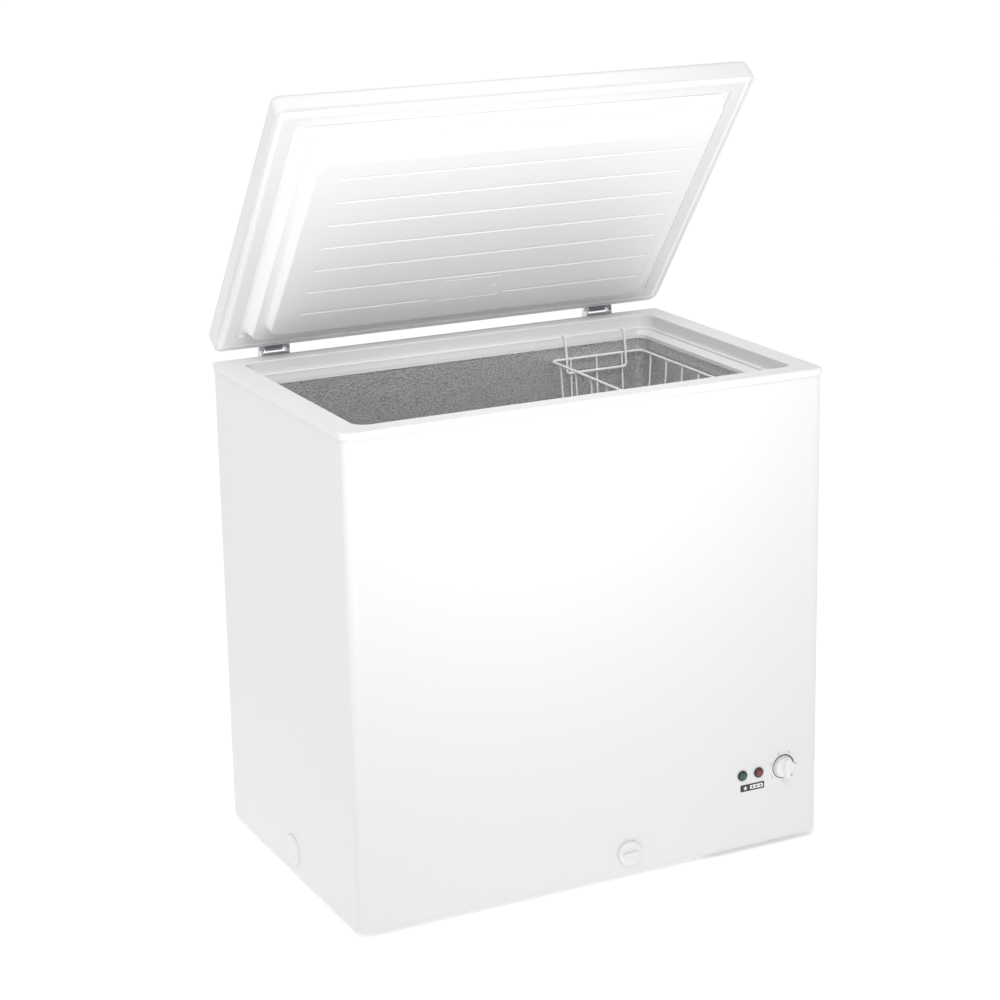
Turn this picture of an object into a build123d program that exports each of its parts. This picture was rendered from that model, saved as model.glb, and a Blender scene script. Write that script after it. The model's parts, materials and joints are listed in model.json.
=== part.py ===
from build123d import *
import os

os.makedirs("parts", exist_ok=True)

# A chest freezer. Millimetres, +Z up, the front faces -Y.
# The origin lies on the floor under the middle of the steel cabinet.
# The lid is drawn shut and then turned about the hinge pins to its open rest position.

# ---- driving dimensions ----
WIDTH = 832.0  # steel cabinet, left to right
DEPTH = 540.0  # steel cabinet, front to back
FLOOR_GAP = 10.0  # under the steel wrap
SEAM_Z = 791.0  # where the plastic top frame meets the steel
FRAME_TOP = 802.0
LID_TOP = 845.0  # lid shut
LID_OPEN = 52.5  # rest angle of the lid, degrees from shut

SKIN = 1.0  # steel sheet
PLASTIC = 3.0  # moulded top frame
LINER_SHEET = 0.8  # aluminium
GLUE = 0.05  # slack between the foam and the round corners of the sheets
CORNER = 16.0  # upright front corners of the cabinet

LEFT, RIGHT = -WIDTH / 2, WIDTH / 2
FRONT, REAR = -DEPTH / 2, DEPTH / 2

# ---- top frame ----
FRAME_LIP = 2.5  # the frame stands proud of the steel by this much
MOUTH_X = 760.0  # clear opening at the top
MOUTH_Y = 468.0
MOUTH_R = 22.0
LEDGE_Z = 779.0  # the basket hangs on this ledge
LEDGE_STEP = 5.0
TAPER_END_Z = 768.0
FRAME_END_Z = 762.0
LIP_X = 732.0  # opening at the foot of the frame
LIP_Y = 456.0

# ---- inner liner ----
CAVITY_X = 738.4
CAVITY_Y = 462.4
CAVITY_R = 18.0
CAVITY_FLOOR = 70.0
STEP_X = 156.0  # the cavity is shallow to the right of this
STEP_TOP = 249.0

# ---- compressor compartment ----
BAY_X = 205.0
BAY_TOP = 198.0
BASE_Z = 12.0

# ---- lid ----
RIM_Z = 806.0  # underside of the lid rim when shut
LID_SIDE = 1.0  # the lid stands proud of the steel sides by this much
LID_FRONT = FRONT - 3.0
LID_REAR = REAR + 2.0
LID_R = 16.5
LID_EDGE_R = 16.0  # round upper edge of the lid shell
PLUG_LEDGE_Z = 785.0  # first step of the plug under the lid
PLUG_PANEL_Z = 771.0  # flat face of the plug

# ---- hinges ----
PIN_Y = 283.0
PIN_Z = 812.0
PIN_R = 3.0
HINGE_X = 305.0
RUNNING = 0.05  # radial clearance of everything that turns


def save(piece, name):
    piece.label = name
    export_step(piece, f"parts/{name}.step")


def block(low, high):
    """A plain box between two corners, for use as a cutter."""
    size = [b - a for a, b in zip(low, high)]
    centre = [(a + b) / 2 for a, b in zip(low, high)]
    return Pos(*centre) * Box(*size, mode=Mode.PRIVATE)


def cylinder_y(x, z, radius, y_from, y_to):
    """A cylinder along Y between two depths, for use as a cutter."""
    middle = (y_from + y_to) / 2
    return Pos(x, middle, z) * Rot(90, 0, 0) * Cylinder(radius, abs(y_to - y_from), mode=Mode.PRIVATE)


def opened(part):
    """Turn a lid piece from shut to the rest position, about the hinge pins."""
    hinge_line = Axis((0, PIN_Y, PIN_Z), (-1, 0, 0))
    return part.rotate(hinge_line, LID_OPEN)


def footprint(inset):
    """The cabinet's outline, with round front corners, made smaller by inset."""
    with BuildSketch(mode=Mode.PRIVATE) as outline:
        Rectangle(WIDTH - 2 * inset, DEPTH - 2 * inset)
        front_corners = outline.vertices().group_by(Axis.Y)[0]
        fillet(front_corners, CORNER - inset)
        rear_corners = outline.vertices().group_by(Axis.Y)[-1]
        fillet(rear_corners, max(4.0 - inset, 0.5))
    return outline.sketch


def rounded(width, depth, radius, z, y=0.0):
    """A rounded rectangle at a height, centred on the cabinet."""
    with BuildSketch(Plane.XY.offset(z), mode=Mode.PRIVATE) as outline:
        with Locations((0, y)):
            RectangleRounded(width, depth, radius)
    return outline.sketch


def between(low_z, high_z, sketch):
    """A prism of a flat outline between two heights."""
    with BuildPart(mode=Mode.PRIVATE) as prism:
        with BuildSketch(Plane.XY.offset(low_z)):
            add(sketch)
        extrude(amount=high_z - low_z)
    return prism.part


# =====================================================================
# Cabinet walls
# =====================================================================

DRAIN_X, DRAIN_Z = 55.0, 45.0
SIDE_PLUG_Y, SIDE_PLUG_Z = 0.0, 45.0
KNOB_X, KNOB_Z = 346.5, 135.5
GREEN_X, RED_X, LAMP_Z = 267.5, 298.5, 134.5
LAMP_STEM_R = 6.0
DRAIN_HOLE_R = 12.0
SIDE_HOLE_R = 22.0

with BuildPart() as outer_shell:
    with BuildSketch(Plane.XY.offset(FLOOR_GAP)):
        add(footprint(0))
        add(footprint(SKIN), mode=Mode.SUBTRACT)
        with Locations((0, REAR - SKIN / 2)):
            Rectangle(WIDTH - 2 * SKIN, 3 * SKIN, mode=Mode.SUBTRACT)
    extrude(amount=SEAM_Z - FLOOR_GAP)
    for x, z, radius in (
        (KNOB_X, KNOB_Z, 5.0),
        (GREEN_X, LAMP_Z, LAMP_STEM_R + 0.2),
        (RED_X, LAMP_Z, LAMP_STEM_R + 0.2),
        (DRAIN_X, DRAIN_Z, DRAIN_HOLE_R),
    ):
        add(cylinder_y(x, z, radius, FRONT - 5, FRONT + 5), mode=Mode.SUBTRACT)
    with BuildSketch(Plane.YZ.offset(LEFT - 5)):
        with Locations((SIDE_PLUG_Y, SIDE_PLUG_Z)):
            Circle(SIDE_HOLE_R)
    extrude(amount=10, mode=Mode.SUBTRACT)
save(outer_shell.part, "outer_shell")

GRILLE_X = 330.0
GRILLE_WIDE = 150.0
GRILLE_TALL = 150.0
GRILLE_Z = 105.0
GLAND_X, GLAND_Z, GLAND_R = 228.0, 60.0, 8.0

with BuildPart() as rear_panel:
    with BuildSketch(Plane.XZ.offset(-REAR)):
        with Locations((0, (BASE_Z + SEAM_Z) / 2)):
            Rectangle(WIDTH - 2 * SKIN - 0.4, SEAM_Z - BASE_Z)
        with Locations((GRILLE_X, GRILLE_Z)):
            RectangleRounded(GRILLE_WIDE - 16, GRILLE_TALL - 16, 6, mode=Mode.SUBTRACT)
        with Locations((GLAND_X, GLAND_Z)):
            Circle(GLAND_R, mode=Mode.SUBTRACT)
    extrude(amount=SKIN)
save(rear_panel.part, "rear_panel")

FEET = [(x, y) for x in (-346.0, 346.0) for y in (-210.0, 205.0)]
FOOT_PEG_R = 4.0

with BuildPart() as base_panel:
    with BuildSketch(Plane.XZ.offset(-(REAR - 1.5))):
        with BuildLine():
            Polyline(
                (LEFT + 1.2, BASE_Z),
                (BAY_X, BASE_Z),
                (BAY_X, BAY_TOP - SKIN),
                (RIGHT - 1.2, BAY_TOP - SKIN),
                (RIGHT - 1.2, BAY_TOP),
                (BAY_X - SKIN, BAY_TOP),
                (BAY_X - SKIN, BASE_Z + SKIN),
                (LEFT + 1.2, BASE_Z + SKIN),
                close=True,
            )
        make_face()
    extrude(amount=DEPTH - 3)
    with BuildSketch(Plane.XY.offset(BASE_Z - 1)):
        with Locations(*[(x, y) for x, y in FEET if x < 0]):
            Circle(FOOT_PEG_R + 0.1)
    extrude(amount=4, mode=Mode.SUBTRACT)
    for x in (LEFT, RIGHT):
        for z in (BASE_Z, BAY_TOP):
            corner_cut = block((x - 18, FRONT, z - 5), (x + 18, FRONT + 18, z + 5))
            add(corner_cut, mode=Mode.SUBTRACT)
save(base_panel.part, "base_panel")


def mouth(grow):
    """The inside shape of the top frame, grown outward by a wall thickness."""
    under = PLASTIC if grow else 0.0
    wide = LEDGE_STEP * 2
    with BuildPart(mode=Mode.PRIVATE) as shape:
        add(between(LEDGE_Z - under, FRAME_TOP,
                    rounded(MOUTH_X + 2 * grow, MOUTH_Y + 2 * grow, MOUTH_R + grow, 0)))
        add(between(LEDGE_Z - PLASTIC, LEDGE_Z,
                    rounded(MOUTH_X - wide + 2 * grow, MOUTH_Y - wide + 2 * grow, MOUTH_R - 3 + grow, 0)))
        top = rounded(MOUTH_X - wide + 2 * grow, MOUTH_Y - wide + 2 * grow, MOUTH_R - 3 + grow,
                      LEDGE_Z - PLASTIC)
        foot = rounded(LIP_X + 2 * grow, LIP_Y + 2 * grow, MOUTH_R - 5 + grow, TAPER_END_Z)
        loft([foot, top])
        add(between(FRAME_END_Z, TAPER_END_Z,
                    rounded(LIP_X + 2 * grow, LIP_Y + 2 * grow, MOUTH_R - 5 + grow, 0)))
    return shape.part


SKIRT = 6.0  # width of the frame's outer skirt, which sits on the steel edge

with BuildPart() as top_frame:
    with BuildSketch(Plane.XY.offset(SEAM_Z)):
        add(footprint(-FRAME_LIP))
    extrude(amount=FRAME_TOP - SEAM_Z)
    top_edges = top_frame.faces().sort_by(Axis.Z)[-1].edges()
    fillet(top_edges, 3.5)
    add(between(SEAM_Z - 1, FRAME_TOP - PLASTIC, footprint(SKIRT - FRAME_LIP)), mode=Mode.SUBTRACT)
    add(mouth(PLASTIC))
    add(mouth(0), mode=Mode.SUBTRACT)
    inner_edges = top_frame.faces().sort_by(Axis.Z)[-1].inner_wires().edges()
    fillet(inner_edges, 2.0)
save(top_frame.part, "top_frame")


def cavity(grow):
    """The storage space with its step over the compressor, grown outward by a thickness."""
    half_x = CAVITY_X / 2 + grow
    with BuildPart(mode=Mode.PRIVATE) as space:
        with BuildSketch(Plane.XZ.offset(-(CAVITY_Y / 2 + grow))):
            with BuildLine():
                Polyline(
                    (-half_x, TAPER_END_Z),
                    (-half_x, CAVITY_FLOOR - grow),
                    (STEP_X + grow, CAVITY_FLOOR - grow),
                    (STEP_X + grow, STEP_TOP - grow),
                    (half_x, STEP_TOP - grow),
                    (half_x, TAPER_END_Z),
                    close=True,
                )
            make_face()
        extrude(amount=CAVITY_Y + 2 * grow)
        corners = [e for e in space.edges().filter_by(Axis.Z) if abs(e.center().X) > CAVITY_X / 2 - 1]
        fillet(corners, CAVITY_R + grow)
    return space.part


DRAIN_INNER_Y = -150.0
DRAIN_R = 10.0
DRAIN_BORE = 7.0

with BuildPart() as inner_liner:
    add(cavity(LINER_SHEET))
    add(cavity(0), mode=Mode.SUBTRACT)
    with BuildSketch(Plane.XY.offset(CAVITY_FLOOR - 5)):
        with Locations((DRAIN_X, DRAIN_INNER_Y)):
            Circle(DRAIN_R + 0.2)
    extrude(amount=10, mode=Mode.SUBTRACT)
save(inner_liner.part, "inner_liner")


def pipe(points, radius, bends, hollow=0.0):
    """A round pipe along straight runs with rounded bends."""
    with BuildPart(mode=Mode.PRIVATE) as tube:
        with BuildLine() as route:
            FilletPolyline(*points, radius=bends)
        start = Plane(route.line @ 0, z_dir=route.line % 0)
        with BuildSketch(start):
            Circle(radius)
            if hollow:
                Circle(hollow, mode=Mode.SUBTRACT)
        sweep()
    return tube.part


# the drain runs down through the liner floor and forward to the outlet
drain_route = [(DRAIN_X, DRAIN_INNER_Y, CAVITY_FLOOR), (DRAIN_X, DRAIN_INNER_Y, DRAIN_Z),
               (DRAIN_X, FRONT + 2.0, DRAIN_Z)]
DRAIN_BEND = 18.0

with BuildPart() as drain_tube:
    add(pipe(drain_route, DRAIN_R, DRAIN_BEND))
    with BuildSketch(Plane.XY.offset(CAVITY_FLOOR)):
        with Locations((DRAIN_X, DRAIN_INNER_Y)):
            Circle(17)
    extrude(amount=2)
    with BuildSketch(Plane.XZ.offset(-FRONT)):
        with Locations((DRAIN_X, DRAIN_Z)):
            Circle(DRAIN_R)
    extrude(amount=-3)
    add(pipe(drain_route, DRAIN_BORE, DRAIN_BEND), mode=Mode.SUBTRACT)
    with BuildSketch(Plane.XY.offset(CAVITY_FLOOR - 1)):
        with Locations((DRAIN_X, DRAIN_INNER_Y)):
            Circle(DRAIN_BORE)
    extrude(amount=4, mode=Mode.SUBTRACT)
    add(cylinder_y(DRAIN_X, DRAIN_Z, DRAIN_BORE, FRONT - 1, FRONT + 4), mode=Mode.SUBTRACT)
save(drain_tube.part, "drain_tube")

SIDE_PLUG_DEEP = 16.0

with BuildPart() as cabinet_foam:
    add(between(BASE_Z + SKIN, SEAM_Z, footprint(SKIN + GLUE)))
    add(between(SEAM_Z - 1, FRAME_TOP - PLASTIC, footprint(SKIRT - FRAME_LIP + GLUE)))
    bay = block((BAY_X - SKIN, FRONT - 1, 0), (RIGHT + 1, REAR + 1, BAY_TOP))
    add(bay, mode=Mode.SUBTRACT)
    add(cavity(LINER_SHEET), mode=Mode.SUBTRACT)
    add(mouth(PLASTIC), mode=Mode.SUBTRACT)
    behind_lip = rounded(CAVITY_X + 2, CAVITY_Y + 2, CAVITY_R + 1, 0)
    add(between(FRAME_END_Z, TAPER_END_Z, behind_lip), mode=Mode.SUBTRACT)
    add(pipe(drain_route, DRAIN_R + GLUE, DRAIN_BEND), mode=Mode.SUBTRACT)
    add(cylinder_y(DRAIN_X, DRAIN_Z, DRAIN_HOLE_R, FRONT - 1, FRONT + 5), mode=Mode.SUBTRACT)
    with BuildSketch(Plane.YZ.offset(LEFT)):
        with Locations((SIDE_PLUG_Y, SIDE_PLUG_Z)):
            Circle(SIDE_HOLE_R)
    extrude(amount=SIDE_PLUG_DEEP, mode=Mode.SUBTRACT)
    with BuildSketch(Plane.XY.offset(BASE_Z)):
        with Locations(*[(x, y) for x, y in FEET if x < 0]):
            Circle(FOOT_PEG_R + 1)
    extrude(amount=12, mode=Mode.SUBTRACT)
    rear_slab = block((LEFT, REAR - SKIN, 0), (RIGHT, REAR + 5, SEAM_Z))
    add(rear_slab, mode=Mode.SUBTRACT)
save(cabinet_foam.part, "cabinet_foam")

# =====================================================================
# Cooling circuit
# =====================================================================

TUBE_R = 3.0
COIL_TURNS = 8
COIL_LOW, COIL_HIGH = 300.0, 700.0


with BuildPart() as evaporator_tube:
    off = LINER_SHEET + TUBE_R + 0.1
    coil_x, coil_y = CAVITY_X / 2 + off, CAVITY_Y / 2 + off
    quarter = (COIL_HIGH - COIL_LOW) / (4 * COIL_TURNS)
    coil_corners = [(coil_x, coil_y), (-coil_x, coil_y), (-coil_x, -coil_y), (coil_x, -coil_y)]
    spiral = [(*coil_corners[n % 4], COIL_LOW + n * quarter) for n in range(4 * COIL_TURNS)]
    add(pipe(spiral, TUBE_R, 14))
save(evaporator_tube.part, "evaporator_tube")

# the condenser snakes up and down behind the left side sheet
SNAKE_RUNS = 8

with BuildPart() as condenser_tube:
    snake = []
    for run in range(SNAKE_RUNS):
        y = -210 + run * 60
        heights = (120, 740) if run % 2 == 0 else (740, 120)
        snake += [(LEFT + SKIN + TUBE_R + 0.1, y, h) for h in heights]
    add(pipe(snake, TUBE_R, 22))
save(condenser_tube.part, "condenser_tube")

BAY_MID_X = (BAY_X + RIGHT) / 2
POT_Y = 165.0
POT_R = 68.0
POT_LOW = 42.0
POT_HIGH = 176.0
TRAY_Z = 15.0
STUD_X, STUD_Y = 82.0, 60.0

with BuildPart() as compressor_tray:
    with BuildSketch(Plane.XY.offset(TRAY_Z)):
        with Locations((BAY_MID_X, 0)):
            Rectangle(RIGHT - BAY_X - 5, DEPTH - 44)
        with Locations(*[(x, y) for x, y in FEET if x > 0]):
            Circle(FOOT_PEG_R + 0.1, mode=Mode.SUBTRACT)
        with GridLocations(0, 34, 1, 5):
            with Locations((BAY_MID_X, -80)):
                SlotOverall(110, 8, mode=Mode.SUBTRACT)
    extrude(amount=2)
    with BuildSketch(Plane.XY.offset(TRAY_Z + 2)):
        for y in (-DEPTH / 2 + 23, DEPTH / 2 - 23):
            with Locations((BAY_MID_X, y)):
                Rectangle(RIGHT - BAY_X - 5, 2)
    extrude(amount=14)
save(compressor_tray.part, "compressor_tray")

with BuildPart() as compressor:
    with BuildSketch(Plane.XY.offset(POT_LOW)):
        with Locations((BAY_MID_X, POT_Y)):
            Ellipse(POT_R + 14, POT_R)
    extrude(amount=POT_HIGH - POT_LOW)
    fillet(compressor.faces().sort_by(Axis.Z)[-1].edges(), 34)
    fillet(compressor.faces().sort_by(Axis.Z)[0].edges(), 12)
    with BuildSketch(Plane.XY.offset(104)):
        with Locations((BAY_MID_X, POT_Y)):
            Ellipse(POT_R + 18, POT_R + 4)
    extrude(amount=6)
save(compressor.part, "compressor")

STUDS = [(BAY_MID_X + sx * STUD_X, POT_Y + sy * STUD_Y) for sx in (-1, 1) for sy in (-1, 1)]

with BuildPart() as compressor_feet:
    with BuildSketch(Plane.XY.offset(POT_LOW - 4)):
        for sy in (-1, 1):
            with Locations((BAY_MID_X, POT_Y + sy * STUD_Y)):
                SlotOverall(2 * STUD_X + 34, 34)
        with Locations((BAY_MID_X, POT_Y)):
            Rectangle(90, 2 * STUD_Y)
        with Locations(*STUDS):
            Circle(8, mode=Mode.SUBTRACT)
    extrude(amount=3.9)
save(compressor_feet.part, "compressor_feet")

with BuildPart() as compressor_grommets:
    with BuildSketch(Plane.XY.offset(TRAY_Z + 2)):
        with Locations(*STUDS):
            Circle(12)
    extrude(amount=POT_LOW - 4 - TRAY_Z - 2)
    with BuildSketch(Plane.XY.offset(POT_LOW - 4)):
        with Locations(*STUDS):
            Circle(7.9)
    extrude(amount=7)
    with BuildSketch(Plane.XY.offset(TRAY_Z)):
        with Locations(*STUDS):
            Circle(4.1)
    extrude(amount=40, mode=Mode.SUBTRACT)
save(compressor_grommets.part, "compressor_grommets")

with BuildPart() as compressor_bolts:
    with BuildSketch(Plane.XY.offset(TRAY_Z + 2)):
        with Locations(*STUDS):
            Circle(4)
    extrude(amount=32)
    with BuildSketch(Plane.XY.offset(POT_LOW + 3)):
        with Locations(*STUDS):
            RegularPolygon(7, 6)
    extrude(amount=5)
save(compressor_bolts.part, "compressor_bolts")

with BuildPart() as relay_cover:
    with BuildSketch(Plane.XZ.offset(-(POT_Y - POT_R - 5))):
        with Locations((BAY_MID_X, 82)):
            RectangleRounded(62, 40, 5)
    extrude(amount=30)
    fillet(relay_cover.faces().sort_by(Axis.Y)[0].edges(), 3)
save(relay_cover.part, "relay_cover")

DRIER_Y = 40.0

with BuildPart() as filter_drier:
    with BuildSketch(Plane.XY.offset(60)):
        with Locations((BAY_X + 30, DRIER_Y)):
            Circle(9)
    extrude(amount=90)
    chamfer(filter_drier.faces().filter_by(Axis.Z).edges(), 4)
save(filter_drier.part, "filter_drier")

with BuildPart() as discharge_pipe:
    add(pipe([(BAY_MID_X - POT_R - 15, POT_Y, 84), (BAY_X + 10, POT_Y, 84), (BAY_X + 10, POT_Y - 70, 84),
              (BAY_X + 10, POT_Y - 70, 188), (BAY_X + 60, POT_Y - 70, 188)], TUBE_R, 8))
save(discharge_pipe.part, "discharge_pipe")

with BuildPart() as suction_pipe:
    add(pipe([(BAY_MID_X + POT_R + 15, POT_Y, 84), (RIGHT - 12, POT_Y, 84), (RIGHT - 12, POT_Y - 90, 84),
              (RIGHT - 12, POT_Y - 90, 186), (RIGHT - 60, POT_Y - 90, 186)], TUBE_R, 8))
save(suction_pipe.part, "suction_pipe")

with BuildPart() as drier_pipe:
    add(pipe([(BAY_X + 30, DRIER_Y, 150), (BAY_X + 30, DRIER_Y, 188), (BAY_X + 30, DRIER_Y - 60, 188),
              (BAY_X + 90, DRIER_Y - 60, 188)], 2.5, 10))
save(drier_pipe.part, "drier_pipe")

with BuildPart() as rear_grille:
    with BuildSketch(Plane.XZ.offset(-(REAR + 2))):
        with Locations((GRILLE_X, GRILLE_Z)):
            RectangleRounded(GRILLE_WIDE, GRILLE_TALL, 10)
            with GridLocations(0, 11, 1, 11):
                SlotOverall(GRILLE_WIDE - 40, 5, mode=Mode.SUBTRACT)
    extrude(amount=2)
save(rear_grille.part, "rear_grille")

with BuildPart() as cable_gland:
    with BuildSketch(Plane.XZ.offset(-REAR)):
        with Locations((GLAND_X, GLAND_Z)):
            Circle(GLAND_R - 0.05)
    extrude(amount=6)
    with BuildSketch(Plane.XZ.offset(-REAR)):
        with Locations((GLAND_X, GLAND_Z)):
            RegularPolygon(12, 6)
    extrude(amount=-6)
    add(cylinder_y(GLAND_X, GLAND_Z, 4.0, REAR - 10, REAR + 10), mode=Mode.SUBTRACT)
save(cable_gland.part, "cable_gland")

# =====================================================================
# Feet, drain fittings, side plug
# =====================================================================

with BuildPart() as feet:
    for x, y in FEET:
        top = BASE_Z if x < 0 else TRAY_Z
        with BuildSketch(Plane.XY):
            with Locations((x, y)):
                Circle(19)
        extrude(amount=top)
        with BuildSketch(Plane.XY.offset(top)):
            with Locations((x, y)):
                Circle(FOOT_PEG_R)
        extrude(amount=6)
    fillet(feet.faces().sort_by(Axis.Z)[:4].edges(), 1.5)
save(feet.part, "feet")

DRAIN_CAP_R = 20.5

with BuildPart() as drain_cap:
    with BuildSketch(Plane.XZ.offset(-FRONT + 0.3)):
        with Locations((DRAIN_X, DRAIN_Z)):
            Circle(DRAIN_CAP_R)
    extrude(amount=6)
    fillet(drain_cap.faces().sort_by(Axis.Y)[0].edges(), 3)
    with BuildSketch(Plane.XZ.offset(-FRONT + 6.3)):
        with Locations((DRAIN_X, DRAIN_Z)):
            RectangleRounded(28, 6, 2.5)
    extrude(amount=5)
    fillet(drain_cap.faces().sort_by(Axis.Y)[0].edges(), 1.5)
    with BuildSketch(Plane.XZ.offset(-FRONT + 0.3)):
        with Locations((DRAIN_X, DRAIN_Z)):
            Circle(DRAIN_BORE - RUNNING)
    extrude(amount=-12)
save(drain_cap.part, "drain_cap")

with BuildPart() as drain_plug:
    with BuildSketch(Plane.XY.offset(CAVITY_FLOOR + 2.1)):
        with Locations((DRAIN_X, DRAIN_INNER_Y)):
            Circle(14)
    extrude(amount=4)
    fillet(drain_plug.faces().sort_by(Axis.Z)[-1].edges(), 2)
    with BuildSketch(Plane.XY.offset(CAVITY_FLOOR + 6.1)):
        with Locations((DRAIN_X, DRAIN_INNER_Y)):
            RectangleRounded(16, 5, 2)
    extrude(amount=9)
    with BuildSketch(Plane.XY.offset(CAVITY_FLOOR + 2.1)):
        with Locations((DRAIN_X, DRAIN_INNER_Y)):
            Circle(DRAIN_BORE - RUNNING)
    extrude(amount=-8)
save(drain_plug.part, "drain_plug")

SIDE_PLUG_R = 27.5

with BuildPart() as side_plug:
    with BuildSketch(Plane.YZ.offset(LEFT)):
        with Locations((SIDE_PLUG_Y, SIDE_PLUG_Z)):
            Circle(SIDE_PLUG_R)
    extrude(amount=-3)
    fillet(side_plug.faces().sort_by(Axis.X)[0].edges(), 2)
    with BuildSketch(Plane.YZ.offset(LEFT)):
        with Locations((SIDE_PLUG_Y, SIDE_PLUG_Z)):
            Circle(SIDE_HOLE_R - 0.1)
    extrude(amount=SIDE_PLUG_DEEP - 1)
save(side_plug.part, "side_plug")

# =====================================================================
# Controls
# =====================================================================

KNOB_R = 16.5
SHAFT_R = 3.0
LENS_R = 6.8
BEZEL_R = 8.6

with BuildPart() as thermostat_body:
    with BuildSketch(Plane.XZ.offset(-(FRONT + SKIN))):
        with Locations((KNOB_X, KNOB_Z)):
            RectangleRounded(44, 34, 3)
    extrude(amount=-36)
    add(cylinder_y(KNOB_X, KNOB_Z, 4.9, FRONT - 0.5, FRONT + SKIN + 0.5))
    add(cylinder_y(KNOB_X, KNOB_Z, SHAFT_R + RUNNING, FRONT - 5, FRONT + 12), mode=Mode.SUBTRACT)
save(thermostat_body.part, "thermostat_body")

with BuildPart() as thermostat_shaft:
    add(cylinder_y(KNOB_X, KNOB_Z, SHAFT_R, FRONT - 9, FRONT + 11.5))
    shaft_flat = block((KNOB_X - 4, FRONT - 10, KNOB_Z + 1.8), (KNOB_X + 4, FRONT - 2, KNOB_Z + 4))
    add(shaft_flat, mode=Mode.SUBTRACT)
save(thermostat_shaft.part, "thermostat_shaft")

with BuildPart() as thermostat_knob:
    with BuildSketch(Plane.XZ.offset(-FRONT + 1.0)):
        with Locations((KNOB_X, KNOB_Z)):
            Circle(KNOB_R)
    extrude(amount=7)
    fillet(thermostat_knob.faces().sort_by(Axis.Y)[0].edges(), 2)
    with BuildSketch(Plane.XZ.offset(-FRONT + 6.0)):
        with Locations((KNOB_X, KNOB_Z)):
            SlotOverall(2 * KNOB_R - 1, 8, rotation=90)
    extrude(amount=10)
    fillet(thermostat_knob.faces().sort_by(Axis.Y)[0].edges(), 1.5)
    add(cylinder_y(KNOB_X, KNOB_Z, SHAFT_R, FRONT - 9, FRONT), mode=Mode.SUBTRACT)
    knob_flat = block((KNOB_X - 3.2, FRONT - 9, KNOB_Z + 1.8), (KNOB_X + 3.2, FRONT - 2, KNOB_Z + 3.2))
    add(knob_flat)
save(thermostat_knob.part, "thermostat_knob")


def lamp_lens(x):
    """A domed indicator lens with a stem through the sheet."""
    with BuildPart(mode=Mode.PRIVATE) as lens:
        with BuildSketch(Plane.XZ.offset(-FRONT)):
            with Locations((x, LAMP_Z)):
                Circle(LENS_R)
        extrude(amount=5)
        fillet(lens.faces().sort_by(Axis.Y)[0].edges(), 3.5)
        with BuildSketch(Plane.XZ.offset(-FRONT)):
            with Locations((x, LAMP_Z)):
                Circle(LAMP_STEM_R)
        extrude(amount=-14)
    return lens.part


save(lamp_lens(GREEN_X), "green_lamp_lens")
save(lamp_lens(RED_X), "red_lamp_lens")

with BuildPart() as lamp_bezels:
    with BuildSketch(Plane.XZ.offset(-FRONT)):
        with Locations((GREEN_X, LAMP_Z), (RED_X, LAMP_Z)):
            Circle(BEZEL_R)
            Circle(LENS_R + 0.1, mode=Mode.SUBTRACT)
    extrude(amount=2.6)
    fillet(lamp_bezels.faces().sort_by(Axis.Y)[:2].edges(), 0.6)
save(lamp_bezels.part, "lamp_bezels")

with BuildPart() as lamp_holders:
    for x in (GREEN_X, RED_X):
        with BuildSketch(Plane.XZ.offset(-(FRONT + SKIN))):
            with Locations((x, LAMP_Z)):
                RectangleRounded(18, 18, 2)
                Circle(LAMP_STEM_R + 0.1, mode=Mode.SUBTRACT)
        extrude(amount=-13.5)
        with BuildSketch(Plane.XZ.offset(-(FRONT + 14.5))):
            with Locations((x, LAMP_Z)):
                RectangleRounded(18, 18, 2)
        extrude(amount=-14)
save(lamp_holders.part, "lamp_holders")

with BuildPart() as star_plate:
    with BuildSketch(Plane.XZ.offset(-FRONT)):
        with Locations((287.0, 111.5)):
            RectangleRounded(45, 11.5, 1.0)
    extrude(amount=0.6)
save(star_plate.part, "star_plate")

# =====================================================================
# Lid, drawn shut, then opened
# =====================================================================

LID_W = WIDTH + 2 * LID_SIDE
LID_D = LID_REAR - LID_FRONT
LID_Y = (LID_REAR + LID_FRONT) / 2
HEM = 5.0  # the shell's edge is folded in by this much
HEM_R = 4.0  # corners of the opening inside the hem


def lid_outline(inset, z):
    return rounded(LID_W - 2 * inset, LID_D - 2 * inset, max(LID_R - inset, 1.0), z, LID_Y)


def hem_outline(inset):
    """The nearly square opening inside the shell's hem, or the liner's edge that sits in it."""
    return rounded(LID_W - 2 * inset, LID_D - 2 * inset, HEM_R, 0, LID_Y)


def lid_body(inset, low_z):
    """The lid's outer block with rounded upper edges, made smaller by inset."""
    with BuildPart(mode=Mode.PRIVATE) as body:
        with BuildSketch(Plane.XY.offset(low_z)):
            add(lid_outline(inset, 0))
        extrude(amount=LID_TOP - inset - low_z)
        fillet(body.faces().sort_by(Axis.Z)[-1].edges(), LID_EDGE_R - inset)
    return body.part


with BuildPart() as lid_shell:
    add(lid_body(0, RIM_Z))
    add(lid_body(SKIN, RIM_Z + SKIN), mode=Mode.SUBTRACT)
    add(between(RIM_Z - 1, RIM_Z + 2 * SKIN, hem_outline(HEM)), mode=Mode.SUBTRACT)
save(opened(lid_shell.part), "lid_shell")


def plug_tier(low, high, low_z, high_z):
    """One tapered tier of the lid liner. low and high are (half width, front, rear, radius)."""
    sections = []
    for (half, front, rear, radius), z in ((low, low_z), (high, high_z)):
        sections.append(rounded(2 * half, rear - front, radius, z, (rear + front) / 2))
    with BuildPart(mode=Mode.PRIVATE) as tier:
        loft(sections)
    return tier.part


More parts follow.
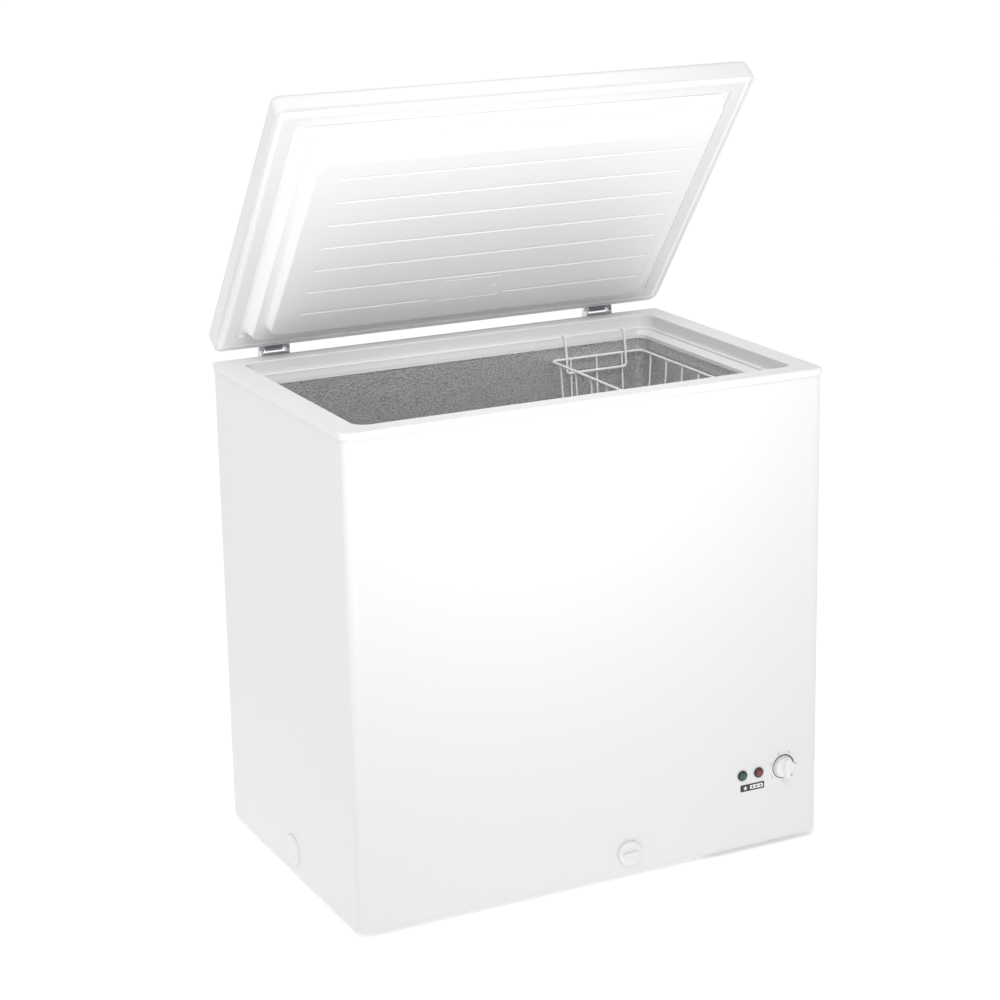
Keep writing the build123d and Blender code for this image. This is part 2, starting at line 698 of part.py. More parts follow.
# each ring of the plug is (half width, front, rear, corner radius)
FIRST_FOOT = (375.0, -234.5, 232.0, 17.0)
FIRST_TOP = (364.0, -228.5, 228.5, 15.0)
SECOND_FOOT = (347.0, -197.0, 216.0, 28.0)
SECOND_TOP = (343.0, -183.0, 206.0, 24.0)


def shrunk(ring, by):
    half, front, rear, radius = ring
    return (half - by, front + by, rear - by, radius - by)


def lid_plug_form(grow):
    """The stepped plug under the lid, made smaller by grow (its inner face)."""
    lower = grow * 1.2
    with BuildPart(mode=Mode.PRIVATE) as form:
        add(plug_tier(shrunk(FIRST_TOP, grow), shrunk(FIRST_FOOT, grow), PLUG_LEDGE_Z + grow, RIM_Z + grow))
        add(plug_tier(shrunk(SECOND_TOP, lower), shrunk(SECOND_FOOT, lower),
                      PLUG_PANEL_Z + grow, PLUG_LEDGE_Z + grow))
    return form.part


LID_PLASTIC = 2.0
SEAM_GAP = 1.4  # open line between the shell's hem and the liner
GROOVE_LEFT, GROOVE_RIGHT = -298.0, 326.0
GROOVE_WIDE = 5.0
GROOVE_DEEP = 1.2
GROOVE_Y = [-149.0 + 51.2 * n for n in range(7)]
PAD_X, PAD_Y = 0.0, 140.0  # outline pressed into the panel near the hinges
PAD_WIDE, PAD_TALL, PAD_R = 118.0, 49.0, 8.0
PAD_LINE = 2.4
GASKET_OUT, GASKET_IN = 15.0, 36.0  # from the lid's edge to the gasket's two sides
DART_OUT, DART_IN = 24.0, 27.0  # the gasket's dart sits in a groove of the liner


def panel_groove(y, x_from, x_to):
    """A V-shaped groove pressed into the panel, along X."""
    with BuildPart(mode=Mode.PRIVATE) as cutter:
        with BuildSketch(Plane.YZ.offset(x_from)):
            with BuildLine():
                Polyline((y - GROOVE_WIDE / 2, PLUG_PANEL_Z), (y - GROOVE_WIDE / 2, PLUG_PANEL_Z - 1),
                         (y + GROOVE_WIDE / 2, PLUG_PANEL_Z - 1), (y + GROOVE_WIDE / 2, PLUG_PANEL_Z),
                         (y, PLUG_PANEL_Z + GROOVE_DEEP), close=True)
            make_face()
        extrude(amount=x_to - x_from)
    return cutter.part


def edge_ring(outer, inner, radius, low_z, high_z):
    """A flat ring that follows the lid's edge, between two distances in from it."""
    outside = rounded(LID_W - 2 * outer, LID_D - 2 * outer, radius, 0, LID_Y)
    inside = rounded(LID_W - 2 * inner, LID_D - 2 * inner, max(radius - 3, 2.0), 0, LID_Y)
    return between(low_z, high_z, outside) - between(low_z - 1, high_z + 1, inside)


with BuildPart() as lid_liner:
    add(between(RIM_Z, RIM_Z + LID_PLASTIC, hem_outline(HEM + SEAM_GAP)))
    add(between(RIM_Z + SKIN, RIM_Z + LID_PLASTIC, lid_outline(SKIN + 0.3, 0)))
    add(lid_plug_form(0))
    panel_face = lid_liner.faces().filter_by(Axis.Z).sort_by(Axis.Z)[0]
    fillet(panel_face.edges(), 5)
    add(lid_plug_form(LID_PLASTIC), mode=Mode.SUBTRACT)
    for y in GROOVE_Y:
        if abs(y - PAD_Y) > PAD_TALL / 2 + GROOVE_WIDE:
            add(panel_groove(y, GROOVE_LEFT, GROOVE_RIGHT), mode=Mode.SUBTRACT)
        else:
            add(panel_groove(y, GROOVE_LEFT, PAD_X - PAD_WIDE / 2 - 8), mode=Mode.SUBTRACT)
            add(panel_groove(y, PAD_X + PAD_WIDE / 2 + 8, GROOVE_RIGHT), mode=Mode.SUBTRACT)
    with BuildSketch(Plane.XY.offset(PLUG_PANEL_Z - 1)):
        with Locations((PAD_X, PAD_Y)):
            RectangleRounded(PAD_WIDE, PAD_TALL, PAD_R)
            RectangleRounded(PAD_WIDE - 2 * PAD_LINE, PAD_TALL - 2 * PAD_LINE, PAD_R - PAD_LINE,
                             mode=Mode.SUBTRACT)
        with Locations((PAD_X + PAD_WIDE / 2 - 14, PAD_Y - 2)):
            Circle(2.5)
    extrude(amount=1.9, mode=Mode.SUBTRACT)
    add(edge_ring(DART_OUT, DART_IN, 8, RIM_Z - 1, RIM_Z + 1.2), mode=Mode.SUBTRACT)
save(opened(lid_liner.part), "lid_liner")

with BuildPart() as lid_gasket:
    add(edge_ring(GASKET_OUT, GASKET_IN, 6, RIM_Z - 3.4, RIM_Z - 0.02))
    low_edges = lid_gasket.faces().sort_by(Axis.Z)[0].edges()
    fillet(low_edges, 1.5)
    add(edge_ring(DART_OUT + 0.1, DART_IN - 0.1, 7.9, RIM_Z - 1, RIM_Z + 1.1))
save(opened(lid_gasket.part), "lid_gasket")

with BuildPart() as lid_foam:
    add(lid_body(SKIN + GLUE, RIM_Z + LID_PLASTIC))
    add(lid_plug_form(LID_PLASTIC))
save(opened(lid_foam.part), "lid_foam")

# =====================================================================
# Hinges
# =====================================================================

BRACKET_HALF = 25.0
LEAF_HALF = 21.5
CHEEK = 2.0
WEB_TOP = 805.0  # the web between the cheeks stops below the spring


def hinge_bracket(x):
    """Folded steel bracket: a plate on the rear panel, a web over it, and two cheeks for the pin."""
    with BuildPart(mode=Mode.PRIVATE) as bracket:
        with BuildSketch(Plane.XZ.offset(-(REAR + CHEEK))):
            with Locations((x, 735)):
                RectangleRounded(2 * BRACKET_HALF, 108, 3)
        extrude(amount=CHEEK)
        for side in (-BRACKET_HALF, BRACKET_HALF - CHEEK):
            with BuildSketch(Plane.YZ.offset(x + side)):
                with BuildLine():
                    Polyline(
                        (REAR, 690), (REAR, 788), (REAR + 3.5, 789.5), (REAR + 3.5, PIN_Z),
                        (PIN_Y + 9, PIN_Z), (PIN_Y + 9, 745), (REAR + 6, 690), close=True,
                    )
                make_face()
                with Locations((PIN_Y, PIN_Z)):
                    Circle(9)
                    Circle(PIN_R, mode=Mode.SUBTRACT)
            extrude(amount=CHEEK)
        add(block((x - BRACKET_HALF, REAR + 3.5, 789.5), (x + BRACKET_HALF, REAR + 5.0, WEB_TOP)))
        holes = [cylinder_y(x + dx, z, 2.2, REAR - 1, REAR + 4) for dx in (-12, 12) for z in (700, 765)]
        for hole in holes:
            add(hole, mode=Mode.SUBTRACT)
    return bracket.part


def hinge_leaf(x):
    """Folded steel leaf screwed to the back of the lid, with two lugs on the pin. Drawn shut."""
    with BuildPart(mode=Mode.PRIVATE) as leaf:
        with BuildSketch(Plane.XZ.offset(-(LID_REAR + 1.8))):
            with Locations((x, 824)):
                RectangleRounded(2 * LEAF_HALF, 26, 2)
        extrude(amount=1.8)
        for side in (-LEAF_HALF, LEAF_HALF - CHEEK):
            with BuildSketch(Plane.YZ.offset(x + side)):
                with BuildLine():
                    Polyline(
                        (LID_REAR, PIN_Z + 8), (LID_REAR, PIN_Z), (PIN_Y, PIN_Z - 8), (PIN_Y + 8, PIN_Z),
                        (PIN_Y, PIN_Z + 8), (LID_REAR + 2, 834), (LID_REAR, 834), close=True,
                    )
                make_face()
                with Locations((PIN_Y, PIN_Z)):
                    Circle(8)
                    Circle(PIN_R + RUNNING, mode=Mode.SUBTRACT)
            extrude(amount=CHEEK)
        for dx in (-11, 11):
            add(cylinder_y(x + dx, 829, 2.1, LID_REAR - 1, LID_REAR + 3), mode=Mode.SUBTRACT)
    return leaf.part


def screw_y(x, y, z, length):
    """A pan-head screw that points forward, its head's underside at depth y."""
    with BuildPart(mode=Mode.PRIVATE) as screw:
        with BuildSketch(Plane.XZ.offset(-y)):
            with Locations((x, z)):
                Circle(4)
        extrude(amount=-2.4)
        fillet(screw.faces().sort_by(Axis.Y)[-1].edges(), 1.2)
        add(cylinder_y(x, z, 2.0, y - length, y))
    return screw.part


for name, x in (("left", -HINGE_X), ("right", HINGE_X)):
    save(hinge_bracket(x), f"hinge_bracket_{name}")
    save(opened(hinge_leaf(x)), f"hinge_leaf_{name}")

with BuildPart() as hinge_pins:
    for x in (-HINGE_X, HINGE_X):
        with BuildSketch(Plane.YZ.offset(x - BRACKET_HALF)):
            with Locations((PIN_Y, PIN_Z)):
                Circle(PIN_R)
        extrude(amount=2 * BRACKET_HALF)
        for start, thick in ((x - BRACKET_HALF, -2.0), (x + BRACKET_HALF, 2.0)):
            with BuildSketch(Plane.YZ.offset(start)):
                with Locations((PIN_Y, PIN_Z)):
                    Circle(5)
            extrude(amount=thick)
save(hinge_pins.part, "hinge_pins")

SPRING_R = 5.6
SPRING_WIRE = 1.0
SPRING_PITCH = 2.5
SPRING_TURNS = 12

with BuildPart() as hinge_springs:
    for x in (-HINGE_X, HINGE_X):
        with BuildLine() as coil:
            Helix(SPRING_PITCH, SPRING_TURNS * SPRING_PITCH, SPRING_R,
                  center=(x - SPRING_TURNS * SPRING_PITCH / 2, PIN_Y, PIN_Z), direction=(1, 0, 0))
        with BuildSketch(Plane(coil.line @ 0, z_dir=coil.line % 0)):
            Circle(SPRING_WIRE)
        sweep(path=coil.line)
save(hinge_springs.part, "hinge_springs")


def screw_group(places, length):
    """Several identical screws in the back of the freezer, heads outward."""
    with BuildPart(mode=Mode.PRIVATE) as group:
        for x, y, z in places:
            add(screw_y(x, y, z, length))
    return group.part


bracket_screws = [(side * HINGE_X + dx, REAR + CHEEK, z)
                  for side in (-1, 1) for dx in (-12, 12) for z in (700, 765)]
save(screw_group(bracket_screws, CHEEK + SKIN - 0.1), "bracket_screws")

leaf_screws = [(side * HINGE_X + dx, LID_REAR + 1.8, 829) for side in (-1, 1) for dx in (-11, 11)]
save(opened(screw_group(leaf_screws, 2.7)), "leaf_screws")

grille_screws = [(GRILLE_X + dx, REAR + 2, GRILLE_Z + dz)
                 for dx in (-GRILLE_WIDE / 2 + 8, GRILLE_WIDE / 2 - 8) for dz in (-66, 66)]
save(screw_group(grille_screws, 2.9), "grille_screws")

# =====================================================================
# Wire basket
# =====================================================================

RIM_WIRE = 2.25
MESH_WIRE = 1.6
HOOK_WIRE = 2.2
BASKET_RIM_Z = 741.0
BASKET_FLOOR_Z = 540.0
BASKET_LEFT, BASKET_RIGHT = 183.0, 361.0
BASKET_HALF_Y = 223.5
BASKET_TAPER = 12.0  # each wall leans in by this much from rim to floor
LONG_PITCH = 54.0
CROSS_X = (220.6, 271.3, 322.0)


def ring_wire(low_x, high_x, half_y, z, radius, corner):
    """A closed ring of wire, level, with round corners."""
    corners = [(low_x, -half_y, z), (high_x, -half_y, z), (high_x, half_y, z), (low_x, half_y, z)]
    with BuildPart(mode=Mode.PRIVATE) as ring:
        with BuildLine() as loop:
            FilletPolyline(*corners, radius=corner, close=True)
        with BuildSketch(Plane(loop.line @ 0, z_dir=loop.line % 0)):
            Circle(radius)
        sweep()
    return ring.part


save(ring_wire(BASKET_LEFT, BASKET_RIGHT, BASKET_HALF_Y, BASKET_RIM_Z, RIM_WIRE, 10), "basket_rim")

MIDDLE_Z = 640.0
lean = BASKET_TAPER * (BASKET_RIM_Z - MIDDLE_Z) / (BASKET_RIM_Z - BASKET_FLOOR_Z)
middle_in = lean + 2 * MESH_WIRE
save(ring_wire(BASKET_LEFT + middle_in, BASKET_RIGHT - middle_in, BASKET_HALF_Y - middle_in,
               MIDDLE_Z, MESH_WIRE, 10), "basket_middle_ring")

with BuildPart() as basket_short_wires:
    for n in range(8):
        y = (n - 3.5) * LONG_PITCH
        add(pipe([(BASKET_LEFT, y, BASKET_RIM_Z), (BASKET_LEFT + BASKET_TAPER, y, BASKET_FLOOR_Z),
                  (BASKET_RIGHT - BASKET_TAPER, y, BASKET_FLOOR_Z), (BASKET_RIGHT, y, BASKET_RIM_Z)],
                 MESH_WIRE, 12))
save(basket_short_wires.part, "basket_short_wires")

with BuildPart() as basket_long_wires:
    under = BASKET_FLOOR_Z - 2 * MESH_WIRE
    for x in CROSS_X:
        add(pipe([(x, -BASKET_HALF_Y, BASKET_RIM_Z), (x, -BASKET_HALF_Y + BASKET_TAPER, under),
                  (x, BASKET_HALF_Y - BASKET_TAPER, under), (x, BASKET_HALF_Y, BASKET_RIM_Z)],
                 MESH_WIRE, 12))
save(basket_long_wires.part, "basket_long_wires")

HOOK_LEFT, HOOK_RIGHT = 211.0, 327.5
HOOK_LOW = 717.0
HOOK_TOP = LEDGE_Z + HOOK_WIRE + 0.3
HOOK_TIP_Y = MOUTH_Y / 2 - 2.0
HOOK_SHOULDER_Y = MOUTH_Y / 2 - 8.0  # above the rim each hook leans out to the ledge

with BuildPart() as basket_hooks:
    for side in (-1, 1):
        inside_rim = BASKET_HALF_Y - RIM_WIRE - HOOK_WIRE + 0.05
        tip_y, shoulder_y, rim_y = side * HOOK_TIP_Y, side * HOOK_SHOULDER_Y, side * inside_rim
        low_y = side * (inside_rim - 1.0)
        up = [(tip_y, HOOK_TOP), (shoulder_y, HOOK_TOP), (rim_y, BASKET_RIM_Z), (low_y, HOOK_LOW)]
        left_leg = [(HOOK_LEFT, y, z) for y, z in up]
        right_leg = [(HOOK_RIGHT, y, z) for y, z in reversed(up)]
        add(pipe(left_leg + right_leg, HOOK_WIRE, 5))
save(basket_hooks.part, "basket_hooks")
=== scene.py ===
import json
import math

import bmesh
import bpy
from mathutils import Matrix, Vector


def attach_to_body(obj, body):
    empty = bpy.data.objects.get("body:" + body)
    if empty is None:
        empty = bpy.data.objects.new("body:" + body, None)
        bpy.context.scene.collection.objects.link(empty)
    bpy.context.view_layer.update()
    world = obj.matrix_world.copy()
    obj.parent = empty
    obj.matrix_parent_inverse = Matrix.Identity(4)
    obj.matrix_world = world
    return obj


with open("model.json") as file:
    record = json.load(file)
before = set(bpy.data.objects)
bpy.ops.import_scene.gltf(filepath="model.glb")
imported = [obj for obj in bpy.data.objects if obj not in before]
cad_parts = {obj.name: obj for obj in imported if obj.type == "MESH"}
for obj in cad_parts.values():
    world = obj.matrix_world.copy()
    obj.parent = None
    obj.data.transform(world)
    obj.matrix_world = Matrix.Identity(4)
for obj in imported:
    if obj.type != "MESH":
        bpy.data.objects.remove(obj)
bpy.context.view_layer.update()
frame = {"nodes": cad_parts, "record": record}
nodes = frame["nodes"]

MM = 0.001

# =====================================================================
# Camera, floor and light
# =====================================================================

CAMERA_AZIMUTH = math.radians(-26.8)
CAMERA_HEIGHT = math.radians(14.6)
CAMERA_ROLL = math.radians(-0.9)
CAMERA_DISTANCE = 4.110
CAMERA_TARGET = Vector((0.007, 0.0, 0.692))
CAMERA_LENS = 91.0
CAMERA_SHIFT = (-0.02, -0.07)
SENSOR_WIDTH = 36.0
CLIP_END = 200.0

WORLD_STRENGTH = 0.62
FLOOR_GLOW = 0.46  # keeps the floor white out to the horizon
FLOOR_REACH = 60.0


def make_camera():
    data = bpy.data.cameras.new("camera")
    data.lens = CAMERA_LENS
    data.sensor_width = SENSOR_WIDTH
    data.shift_x, data.shift_y = CAMERA_SHIFT
    data.clip_end = CLIP_END
    camera = bpy.data.objects.new("camera", data)
    bpy.context.scene.collection.objects.link(camera)
    flat = math.cos(CAMERA_HEIGHT)
    back = Vector((math.sin(CAMERA_AZIMUTH) * flat,
                   -math.cos(CAMERA_AZIMUTH) * flat,
                   math.sin(CAMERA_HEIGHT)))
    right = Vector((0, 0, 1)).cross(back).normalized()
    up = back.cross(right)
    tilt_right = right * math.cos(CAMERA_ROLL) + up * math.sin(CAMERA_ROLL)
    tilt_up = up * math.cos(CAMERA_ROLL) - right * math.sin(CAMERA_ROLL)
    turn = Matrix((tilt_right, tilt_up, back)).transposed()
    camera.matrix_world = Matrix.Translation(CAMERA_TARGET + back * CAMERA_DISTANCE) @ turn.to_4x4()
    bpy.context.scene.camera = camera


SPOT_RADIUS = 0.5  # metres, for soft shadows


def area_light(name, place, target, size, power):
    data = bpy.data.lights.new(name, "AREA")
    data.shape = "DISK"
    data.size = size
    data.energy = power
    lamp = bpy.data.objects.new(name, data)
    bpy.context.scene.collection.objects.link(lamp)
    lamp.location = place
    lamp.rotation_euler = (Vector(target) - Vector(place)).to_track_quat("-Z", "Y").to_euler()


def spot_light(name, place, target, half_angle, power):
    """A soft-edged lamp that reaches only round its target."""
    data = bpy.data.lights.new(name, "SPOT")
    data.energy = power
    data.shadow_soft_size = SPOT_RADIUS
    data.spot_size = 2 * math.radians(half_angle)
    data.spot_blend = 1.0
    lamp = bpy.data.objects.new(name, data)
    bpy.context.scene.collection.objects.link(lamp)
    lamp.location = place
    lamp.rotation_euler = (Vector(target) - Vector(place)).to_track_quat("-Z", "Y").to_euler()


def make_world():
    world = bpy.data.worlds.new("studio")
    bpy.context.scene.world = world
    world.use_nodes = True
    background = world.node_tree.nodes["Background"]
    background.inputs["Color"].default_value = (1.0, 1.0, 1.0, 1)
    background.inputs["Strength"].default_value = WORLD_STRENGTH
    bpy.context.scene.view_settings.view_transform = "Standard"


def make_floor():
    mesh = bpy.data.meshes.new("floor")
    shape = bmesh.new()
    bmesh.ops.create_grid(shape, x_segments=1, y_segments=1, size=FLOOR_REACH)
    shape.to_mesh(mesh)
    shape.free()
    floor = bpy.data.objects.new("floor", mesh)
    bpy.context.scene.collection.objects.link(floor)
    floor.data.materials.append(floor_paint())


# =====================================================================
# Materials
# =====================================================================


NOISE_ROUGHNESS = 0.55


class Material:
    """A principled material with helpers for the few node patterns used here."""

    def __init__(self, name, colour, roughness=0.5, metallic=0.0, **sockets):
        self.material = bpy.data.materials.new(name)
        self.material.use_nodes = True
        self.tree = self.material.node_tree
        self.shader = self.tree.nodes["Principled BSDF"]
        self.colour = (*colour, 1)
        self.shader.inputs["Base Color"].default_value = self.colour
        self.shader.inputs["Roughness"].default_value = roughness
        self.shader.inputs["Metallic"].default_value = metallic
        for socket, value in sockets.items():
            self.shader.inputs[socket.replace("_", " ")].default_value = value
        self.place = self.node("ShaderNodeTexCoord").outputs["Object"]
        self.last_bump = None

    def node(self, kind, **values):
        made = self.tree.nodes.new(kind)
        for key, value in values.items():
            if hasattr(made, key):
                setattr(made, key, value)
            else:
                made.inputs[key.replace("_", " ")].default_value = value
        return made

    def link(self, output, socket):
        self.tree.links.new(output, socket)

    def noise(self, scale, detail=3.0):
        texture = self.node("ShaderNodeTexNoise", Scale=scale, Detail=detail, Roughness=NOISE_ROUGHNESS)
        self.link(self.place, texture.inputs["Vector"])
        return texture.outputs["Fac"]

    def cells(self, scale):
        texture = self.node("ShaderNodeTexVoronoi", Scale=scale)
        self.link(self.place, texture.inputs["Vector"])
        return texture.outputs["Distance"]

    def vary_colour(self, factor, low, high):
        """Shade the colour between low and high times its value, by a 0 to 1 pattern."""
        ramp = self.node("ShaderNodeMix", data_type="RGBA")
        ramp.inputs["A"].default_value = (*[c * low for c in self.colour[:3]], 1)
        ramp.inputs["B"].default_value = (*[min(c * high, 1.0) for c in self.colour[:3]], 1)
        self.link(factor, ramp.inputs["Factor"])
        self.link(ramp.outputs["Result"], self.shader.inputs["Base Color"])

    def vary_roughness(self, factor, low, high):
        span = self.node("ShaderNodeMapRange", To_Min=low, To_Max=high)
        self.link(factor, span.inputs["Value"])
        self.link(span.outputs["Result"], self.shader.inputs["Roughness"])

    def bump(self, height, distance, strength=1.0):
        bump = self.node("ShaderNodeBump", Strength=strength, Distance=distance)
        self.link(height, bump.inputs["Height"])
        if self.last_bump:
            self.link(self.last_bump, bump.inputs["Normal"])
        self.last_bump = bump.outputs["Normal"]
        self.link(self.last_bump, self.shader.inputs["Normal"])


def floor_paint():
    m = Material("floor_paint", (0.90, 0.90, 0.90), 0.8, Specular_IOR_Level=0.2,
                 Emission_Color=(1, 1, 1, 1), Emission_Strength=FLOOR_GLOW)
    m.vary_colour(m.noise(3.0), 0.995, 1.0)
    return m.material


def white_enamel():
    """Smooth white paint on steel sheet, with the faint orange peel of a sprayed coat."""
    m = Material("white_enamel", (0.78, 0.785, 0.79), 0.32, Coat_Weight=0.25, Coat_Roughness=0.12)
    m.vary_colour(m.noise(2.2, 2.0), 0.992, 1.0)
    m.vary_roughness(m.noise(40.0, 2.0), 0.30, 0.34)
    m.bump(m.noise(150.0, 2.0), 0.00003, 0.2)
    return m.material


def moulded(name, colour, roughness, grain=900.0, depth=0.00006):
    """Injection-moulded plastic with a fine spark-eroded grain."""
    m = Material(name, colour, roughness)
    m.vary_colour(m.noise(14.0, 3.0), 0.985, 1.0)
    m.vary_roughness(m.noise(40.0, 4.0), roughness - 0.04, roughness + 0.05)
    m.bump(m.noise(grain, 2.0), depth, 0.5)
    return m.material


def formed_sheet():
    """Vacuum-formed white sheet, softer than moulded plastic."""
    m = Material("formed_sheet", (0.90, 0.905, 0.91), 0.42)
    m.vary_colour(m.noise(5.0, 2.0), 0.988, 1.0)
    m.vary_roughness(m.noise(25.0, 3.0), 0.34, 0.44)
    m.bump(m.noise(240.0, 2.0), 0.0001, 0.3)
    return m.material


def stucco_aluminium():
    """Bare aluminium sheet rolled with a stucco pattern of small raised flakes."""
    m = Material("stucco_aluminium", (0.90, 0.905, 0.91), 0.40, 0.9)
    flakes = m.cells(330.0)
    m.vary_colour(flakes, 1.1, 0.6)
    m.vary_roughness(m.noise(60.0, 3.0), 0.3, 0.45)
    m.bump(flakes, 0.0008, 0.8)
    m.bump(m.noise(900.0, 2.0), 0.0001, 0.4)
    return m.material


def sheet_metal(name, colour, roughness):
    """Plated or galvanised steel, with a faint spangle."""
    m = Material(name, colour, roughness, 1.0)
    m.vary_colour(m.cells(90.0), 0.82, 1.05)
    m.vary_roughness(m.noise(120.0, 3.0), roughness - 0.06, roughness + 0.1)
    m.bump(m.noise(500.0, 3.0), 0.00004, 0.5)
    return m.material


def rubber(name, colour, roughness):
    m = Material(name, colour, roughness, Specular_IOR_Level=0.35)
    m.vary_colour(m.noise(30.0, 3.0), 0.94, 1.0)
    m.vary_roughness(m.noise(60.0, 3.0), roughness - 0.05, roughness + 0.06)
    m.bump(m.noise(700.0, 2.0), 0.00005, 0.5)
    return m.material


def foam_surface():
    m = Material("rigid_foam", (0.84, 0.76, 0.54), 0.85)
    m.vary_colour(m.noise(20.0, 5.0), 0.8, 1.0)
    m.bump(m.cells(320.0), 0.0012, 0.7)
    return m.material


def coated_wire():
    """Steel wire dipped in white plastic: glossy, with slow waves in the coat."""
    m = Material("coated_wire", (0.87, 0.87, 0.88), 0.26, Coat_Weight=0.3, Coat_Roughness=0.15)
    m.vary_colour(m.noise(35.0, 2.0), 0.97, 1.0)
    m.vary_roughness(m.noise(50.0, 2.0), 0.22, 0.34)
    m.bump(m.noise(260.0, 2.0), 0.0002, 0.4)
    return m.material


def lens(name, colour):
    """Tinted lamp lens, with light and dark patches painted into its colour as reflections of the
    reflector behind it.
    """
    m = Material(name, colour, 0.12, Coat_Weight=0.6, Coat_Roughness=0.05, IOR=1.49)
    # painted reflection: the lens colour is lightened and darkened in patches to stand for the
    # reflector's reflections
    m.vary_colour(m.noise(260.0, 2.0), 0.75, 1.15)
    m.bump(m.cells(500.0), 0.0002, 0.25)
    return m.material


def printed_ink(name, colour):
    m = Material(name, colour, 0.42)
    m.vary_colour(m.noise(300.0, 3.0), 0.9, 1.1)
    m.vary_roughness(m.noise(200.0, 2.0), 0.36, 0.5)
    return m.material


def copper():
    m = Material("copper", (0.72, 0.38, 0.24), 0.3, 1.0)
    m.vary_colour(m.noise(60.0, 4.0), 0.6, 1.0)
    m.vary_roughness(m.noise(90.0, 3.0), 0.22, 0.45)
    m.bump(m.noise(800.0, 2.0), 0.00003, 0.5)
    return m.material


MATERIALS = {
    "white_steel": white_enamel(),
    "galvanised": sheet_metal("galvanised_sheet", (0.62, 0.64, 0.66), 0.42),
    "frame_plastic": moulded("frame_plastic", (0.82, 0.82, 0.83), 0.42),
    "liner_plastic": formed_sheet(),
    "gasket": rubber("white_seal", (0.80, 0.81, 0.82), 0.55),
    "liner_aluminium": stucco_aluminium(),
    "foam": foam_surface(),
    "tube": sheet_metal("drawn_tube", (0.66, 0.67, 0.69), 0.35),
    "copper": copper(),
    "black_steel": moulded("black_paint", (0.02, 0.02, 0.022), 0.32, 300.0, 0.0001),
    "rubber": rubber("grey_rubber", (0.10, 0.10, 0.105), 0.6),
    "zinc": sheet_metal("zinc_plate", (0.70, 0.71, 0.73), 0.3),
    "spring_steel": sheet_metal("spring_steel", (0.40, 0.40, 0.42), 0.35),
    "black_plastic": moulded("black_plastic", (0.035, 0.035, 0.038), 0.45),
    "white_plastic": moulded("white_plastic", (0.82, 0.82, 0.83), 0.36),
    "knob_plastic": moulded("knob_plastic", (0.84, 0.85, 0.86), 0.34),
    "green_lens": lens("green_lens", (0.012, 0.07, 0.035)),
    "red_lens": lens("red_lens", (0.16, 0.012, 0.02)),
    "plate_print": printed_ink("plate_print", (0.02, 0.02, 0.022)),
    "coated_wire": coated_wire(),
}


def shade_cad_nodes():
    for sub in frame["record"]["subparts"]:
        mesh = nodes[sub["node"]].data
        mesh.materials.clear()
        mesh.materials.append(MATERIALS[sub["material_slot"]])


# =====================================================================
# Dial print and star plate
# =====================================================================

FRONT_Y = -270.0
PLATE_Y = -270.6
PRINT = 0.12  # thickness of the ink
KNOB = (346.5, 135.5)
ARC_R = 19.8
DIGIT_R = 25.3
DIGIT_ANGLES = (-47.0, -93.0, -145.0, 161.0, 112.0, 65.5, 2.7)
DIGIT_SIZE = 5.22  # font size, millimetres
ARC_START, ARC_SWEEP, ARC_STEPS = -47.0, -310.0, 96  # degrees, clockwise from the off mark
ARC_THIN, ARC_THICKER = 0.4, 0.8  # half widths: at the off end, and what is added by the cold end
STAR_WAIST = 0.42  # a star's inner radius against its outer one
STAR_Z = 111.5


def print_piece(name, outlines, y, material):
    """Flat ink on a front face: each outline is a list of (x, z) in millimetres."""
    shape = bmesh.new()
    for outline in outlines:
        back = [shape.verts.new((x * MM, y * MM, z * MM)) for x, z in outline]
        front = [shape.verts.new((x * MM, (y - PRINT) * MM, z * MM)) for x, z in outline]
        shape.faces.new(front)
        shape.faces.new(list(reversed(back)))
        for i in range(len(outline)):
            j = (i + 1) % len(outline)
            shape.faces.new((back[i], back[j], front[j], front[i]))
    bmesh.ops.recalc_face_normals(shape, faces=shape.faces)
    mesh = bpy.data.meshes.new(name)
    shape.to_mesh(mesh)
    shape.free()
    attach(name, mesh, material)


def attach(name, mesh, material):
    """Put a printed piece on the cabinet."""
    piece = bpy.data.objects.new(name, mesh)
    bpy.context.scene.collection.objects.link(piece)
    mesh.materials.clear()
    mesh.materials.append(MATERIALS[material])
    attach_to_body(piece, "cabinet")


def polar(radius, degrees, centre=KNOB):
    angle = math.radians(degrees)
    return (centre[0] + radius * math.cos(angle), centre[1] + radius * math.sin(angle))


def dial_arc():
    """The printed wedge round the knob, thinnest at the off end and thickest at the cold end."""
    outer = []
    inner = []
    for i in range(ARC_STEPS + 1):
        share = i / ARC_STEPS
        angle = ARC_START + ARC_SWEEP * share
        half = ARC_THIN + ARC_THICKER * share
        outer.append(polar(ARC_R + half, angle))
        inner.append(polar(ARC_R - half, angle))
    quads = [[outer[i], outer[i + 1], inner[i + 1], inner[i]] for i in range(ARC_STEPS)]
    print_piece("dial_arc", quads, FRONT_Y, "plate_print")


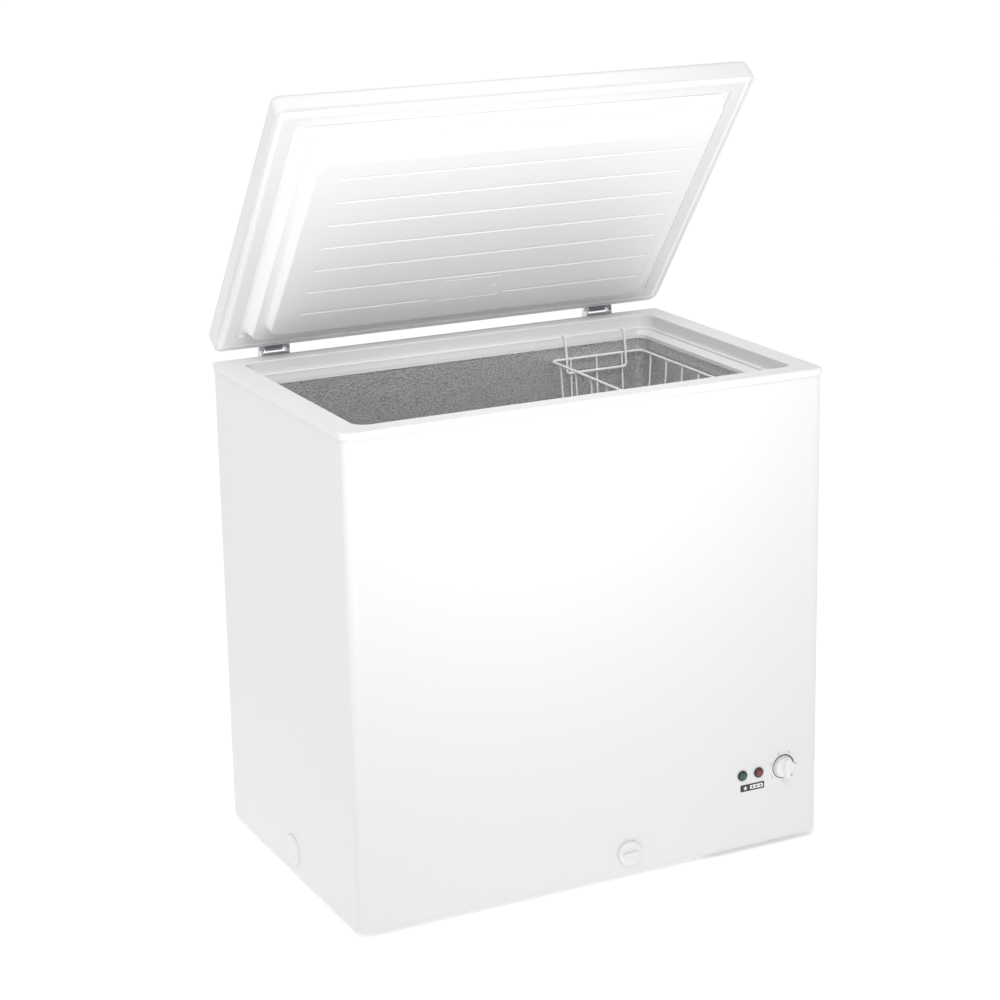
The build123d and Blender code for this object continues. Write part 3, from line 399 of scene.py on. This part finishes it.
def dial_digit(number, degrees):
    data = bpy.data.curves.new(f"dial_digit_{number}", "FONT")
    data.body = str(number)
    data.size = DIGIT_SIZE * MM
    data.align_x = "CENTER"
    data.align_y = "CENTER"
    data.extrude = PRINT * MM / 2
    source = bpy.data.objects.new("digit_source", data)
    bpy.context.scene.collection.objects.link(source)
    bpy.context.view_layer.update()
    mesh = bpy.data.meshes.new_from_object(source.evaluated_get(bpy.context.evaluated_depsgraph_get()))
    bpy.data.objects.remove(source)
    x, z = polar(DIGIT_R, degrees)
    upright = Matrix.Rotation(math.radians(90), 4, "X")
    mesh.transform(Matrix.Translation((x * MM, (FRONT_Y - PRINT / 2) * MM, z * MM)) @ upright)
    attach(f"dial_digit_{number}", mesh, "plate_print")


def star(x, z, radius):
    """A five-pointed star outline."""
    return [polar(radius if i % 2 == 0 else radius * STAR_WAIST, 90 + 36 * i, (x, z)) for i in range(10)]


def rounded_box(x0, z0, x1, z1, radius):
    corners = ((x1 - radius, z1 - radius, 0), (x0 + radius, z1 - radius, 90),
               (x0 + radius, z0 + radius, 180), (x1 - radius, z0 + radius, 270))
    return [polar(radius, first + 15 * i, (x, z)) for x, z, first in corners for i in range(7)]


def star_plate_print():
    """Generic four-star freezer rating: one large star and a light box with three small ones."""
    print_piece("rating_star", [star(273.3, 111.3, 4.6)], PLATE_Y, "white_plastic")
    print_piece("rating_box", [rounded_box(282.0, 108.2, 307.0, 115.0, 1.4)], PLATE_Y, "white_plastic")
    small = [star(x, STAR_Z, 2.7) for x in (286.8, 294.5, 302.2)]
    print_piece("rating_small_stars", small, PLATE_Y - PRINT, "plate_print")


make_camera()
make_world()
make_floor()
area_light("top", (-1.4, -2.4, 4.0), (0, 0, 0.7), 2.4, 50)
spot_light("lid_fill", (-1.0, -3.9, 0.35), (0.0, 0.12, 1.12), 11.0, 200)
spot_light("cavity_fill", (-0.5, -2.7, 3.3), (0.0, 0.18, 0.70), 9.5, 330)
shade_cad_nodes()
dial_arc()
for number, degrees in enumerate(DIGIT_ANGLES):
    dial_digit(number, degrees)
star_plate_print()
